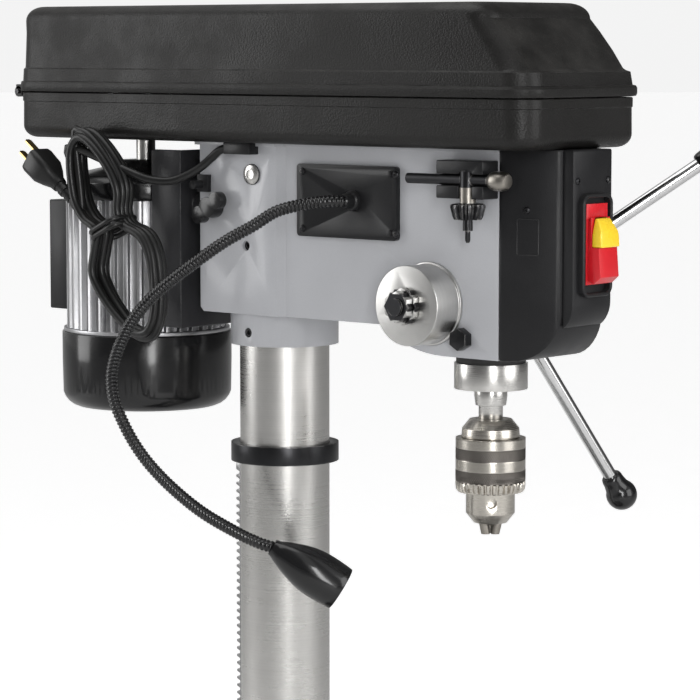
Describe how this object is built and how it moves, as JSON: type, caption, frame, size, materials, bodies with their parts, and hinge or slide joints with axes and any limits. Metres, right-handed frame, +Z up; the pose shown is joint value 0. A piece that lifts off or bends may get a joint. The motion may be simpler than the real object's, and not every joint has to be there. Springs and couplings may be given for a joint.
{
  "type": "bench drill press",
  "caption": "Bench drill press with a grey head, black belt guard, keyed chuck, spoked feed handle, gooseneck lamp, red safety switch and a lifting, tilting table on a round column",
  "frame": {"origin": "on the column's axis, at the underside of the base", "axes": "+Z up along the column; -Y towards the operator, from the column to the spindle; +X to the operator's right, the side of the feed handle"},
  "size_m": [0.3084, 0.5885, 1.012],
  "materials": {
    "head_paint": "satin hammered light grey paint",
    "black_iron": "black painted casting",
    "ground_iron": "ground grey iron",
    "bright_steel": "turned and ground",
    "black_steel": "black oxide",
    "chrome_rod": "polished",
    "cast_alloy": "cast",
    "black_sheet": "textured black powder coat",
    "black_plastic": "moulded",
    "gloss_black": "moulded, glossy",
    "red_plastic": "moulded",
    "yellow_plastic": "moulded",
    "cord_rubber": "smooth jacket",
    "belt_rubber": "cloth covered"
  },
  "bodies": {
    "frame": {"base": "black_iron", "column_flange": "black_iron", "fasteners": "black_steel", "column": "bright_steel", "rack_ring": "black_steel", "head": "head_paint", "front_cover": "black_plastic", "switch_panel": "black_plastic", "switch_housing": "red_plastic", "lamp_plate": "black_plastic", "key_holder": "black_plastic", "spring_cap": "bright_steel", "return_spring": "black_steel", "guard_pan": "black_sheet", "pulley_bearings": "bright_steel", "drive_belts": "belt_rubber", "cord_clips": "black_plastic", "cord_lead": "cord_rubber", "cord_hank": "cord_rubber", "cord_tie": "cord_rubber", "cord_tail": "cord_rubber", "plug": "cord_rubber"},
    "column_rack": {"rack": "ground_iron"},
    "table_carrier": {"table_bracket": "black_iron"},
    "lift_crank": {"lift_pinion": "bright_steel", "crank": "black_iron"},
    "column_clamp": {"column_lock": "black_steel"},
    "tilt_yoke": {"table_yoke": "black_iron"},
    "yoke_clamp": {"table_lock": "black_steel"},
    "work_table": {"table": "ground_iron"},
    "quill_unit": {"quill": "bright_steel", "quill_bumper": "belt_rubber", "spindle_bearings": "bright_steel"},
    "spindle_unit": {"spindle": "bright_steel", "chuck_body": "bright_steel"},
    "chuck_outer": {"chuck_sleeve": "bright_steel"},
    "first_jaw": {"jaw_1": "bright_steel"},
    "second_jaw": {"jaw_2": "bright_steel"},
    "third_jaw": {"jaw_3": "bright_steel"},
    "feed_unit": {"feed_shaft": "bright_steel", "feed_hub": "black_iron", "feed_rods": "chrome_rod", "feed_knobs": "gloss_black"},
    "depth_stop": {"depth_ring": "cast_alloy"},
    "motor_unit": {"motor_plate": "black_iron", "motor_body": "cast_alloy", "motor_covers": "black_plastic", "motor_box": "black_plastic"},
    "rotor": {"motor_shaft": "bright_steel", "motor_pulley": "cast_alloy"},
    "idler_swing_arm": {"idler_arm": "cast_alloy"},
    "idler_wheel": {"idler_pulley": "cast_alloy"},
    "spindle_wheel": {"spindle_pulley": "cast_alloy"},
    "slide_clamp": {"wing_knob": "gloss_black"},
    "lid": {"guard_lid": "black_sheet"},
    "paddle": {"switch_paddle": "red_plastic"},
    "safety_key": {"switch_key": "yellow_plastic"},
    "key_tool": {"chuck_key": "black_steel"},
    "lamp": {"gooseneck": "black_plastic", "lamp_head": "gloss_black"}
  },
  "joints": [
    {"name": "table_swing", "type": "hinge", "parent": "frame", "child": "column_rack", "pos_m": [0, 0, 0.3], "axis": [0, 0, 1], "range_deg": [-120, 120]},
    {"name": "table_lift", "type": "slide", "parent": "column_rack", "child": "table_carrier", "axis": [0, 0, 1], "range_m": [-0.125, 0.1]},
    {"name": "crank_turn", "type": "hinge", "parent": "table_carrier", "child": "lift_crank", "pos_m": [0, 0.0559, 0.28], "axis": [1, 0, 0], "range_deg": [-717, 574]},
    {"name": "column_lock_turn", "type": "hinge", "parent": "table_carrier", "child": "column_clamp", "pos_m": [-0.062, 0, 0.28], "axis": [0, 1, 0], "range_deg": [-60, 0]},
    {"name": "table_tilt", "type": "hinge", "parent": "table_carrier", "child": "tilt_yoke", "pos_m": [0, -0.15, 0.292], "axis": [0, 1, 0], "range_deg": [-45, 45]},
    {"name": "table_lock_turn", "type": "hinge", "parent": "tilt_yoke", "child": "yoke_clamp", "pos_m": [0.038, -0.214, 0.292], "axis": [1, 0, 0], "range_deg": [0, 60]},
    {"name": "table_turn", "type": "hinge", "parent": "tilt_yoke", "child": "work_table", "pos_m": [0, -0.214, 0.33], "axis": [0, 0, 1], "continuous": true},
    {"name": "quill_slide", "type": "slide", "parent": "frame", "child": "quill_unit", "axis": [0, 0, -1], "range_m": [0, 0.08], "stiffness_N_per_m": 300, "springref_m": -0.16},
    {"name": "feed_turn", "type": "hinge", "parent": "frame", "child": "feed_unit", "pos_m": [0, -0.18725, 0.784], "axis": [1, 0, 0], "range_deg": [0, 556]},
    {"name": "spindle_spin", "type": "hinge", "parent": "quill_unit", "child": "spindle_unit", "pos_m": [0, -0.214, 0.7], "axis": [0, 0, 1], "continuous": true},
    {"name": "chuck_sleeve_turn", "type": "hinge", "parent": "spindle_unit", "child": "chuck_outer", "pos_m": [0, -0.214, 0.66], "axis": [0, 0, 1], "range_deg": [0, 3456]},
    {"name": "jaw_1_slide", "type": "slide", "parent": "spindle_unit", "child": "first_jaw", "axis": [0.1826, 0.1587, 0.9703], "range_m": [0, 0.024]},
    {"name": "jaw_2_slide", "type": "slide", "parent": "spindle_unit", "child": "second_jaw", "axis": [-0.2287, 0.0788, 0.9703], "range_m": [0, 0.024]},
    {"name": "jaw_3_slide", "type": "slide", "parent": "spindle_unit", "child": "third_jaw", "axis": [0.0462, -0.2375, 0.9703], "range_m": [0, 0.024]},
    {"name": "depth_ring_turn", "type": "hinge", "parent": "frame", "child": "depth_stop", "pos_m": [0.05, -0.18725, 0.784], "axis": [1, 0, 0], "range_deg": [0, 330]},
    {"name": "motor_slide", "type": "slide", "parent": "frame", "child": "motor_unit", "axis": [0, 1, 0], "range_m": [-0.012, 0], "deforming": ["drive_belts"]},
    {"name": "motor_spin", "type": "hinge", "parent": "motor_unit", "child": "rotor", "pos_m": [0, 0.158, 0.85], "axis": [0, 0, 1], "continuous": true},
    {"name": "idler_swing", "type": "hinge", "parent": "frame", "child": "idler_swing_arm", "pos_m": [0.032, -0.02, 0.9], "axis": [0, 0, 1], "range_deg": [0, 11]},
    {"name": "idler_spin", "type": "hinge", "parent": "idler_swing_arm", "child": "idler_wheel", "pos_m": [0, -0.02, 0.95], "axis": [0, 0, 1], "continuous": true},
    {"name": "pulley_spin", "type": "hinge", "parent": "frame", "child": "spindle_wheel", "pos_m": [0, -0.214, 0.95], "axis": [0, 0, 1], "continuous": true},
    {"name": "slide_clamp_turn", "type": "hinge", "parent": "frame", "child": "slide_clamp", "pos_m": [-0.05, 0.0325, 0.85], "axis": [1, 0, 0], "range_deg": [-60, 60]},
    {"name": "lid_open", "type": "hinge", "parent": "frame", "child": "lid", "pos_m": [0, 0.249, 0.941], "axis": [-1, 0, 0], "range_deg": [0, 75]},
    {"name": "paddle_lift", "type": "hinge", "parent": "frame", "child": "paddle", "pos_m": [0, -0.311, 0.845], "axis": [-1, 0, 0], "range_deg": [0, 10]},
    {"name": "safety_key_pull", "type": "slide", "parent": "paddle", "child": "safety_key", "axis": [0, -1, 0], "range_m": [0, 0.025]},
    {"name": "chuck_key_pull", "type": "slide", "parent": "frame", "child": "key_tool", "axis": [-1, 0, 0], "range_m": [0, 0.03]},
    {"name": "lamp_swing", "type": "hinge", "parent": "frame", "child": "lamp", "pos_m": [-0.047, -0.1135, 0.86], "axis": [1, 0, 0], "range_deg": [-10, 8]}
  ],
  "couplings": [
    {"joint": "crank_turn", "follows": "table_lift", "rad_per_m": 100},
    {"joint": "feed_turn", "follows": "quill_slide", "rad_per_m": 121.21},
    {"joint": "jaw_1_slide", "follows": "chuck_sleeve_turn", "m_per_rad": 0.00039789},
    {"joint": "jaw_2_slide", "follows": "chuck_sleeve_turn", "m_per_rad": 0.00039789},
    {"joint": "jaw_3_slide", "follows": "chuck_sleeve_turn", "m_per_rad": 0.00039789},
    {"joint": "idler_swing", "follows": "motor_slide", "rad_per_m": -15.625},
    {"joint": "idler_spin", "follows": "motor_spin", "ratio": 0.43396},
    {"joint": "pulley_spin", "follows": "motor_spin", "ratio": 0.33304},
    {"joint": "spindle_spin", "follows": "motor_spin", "ratio": 0.33304}
  ]
}
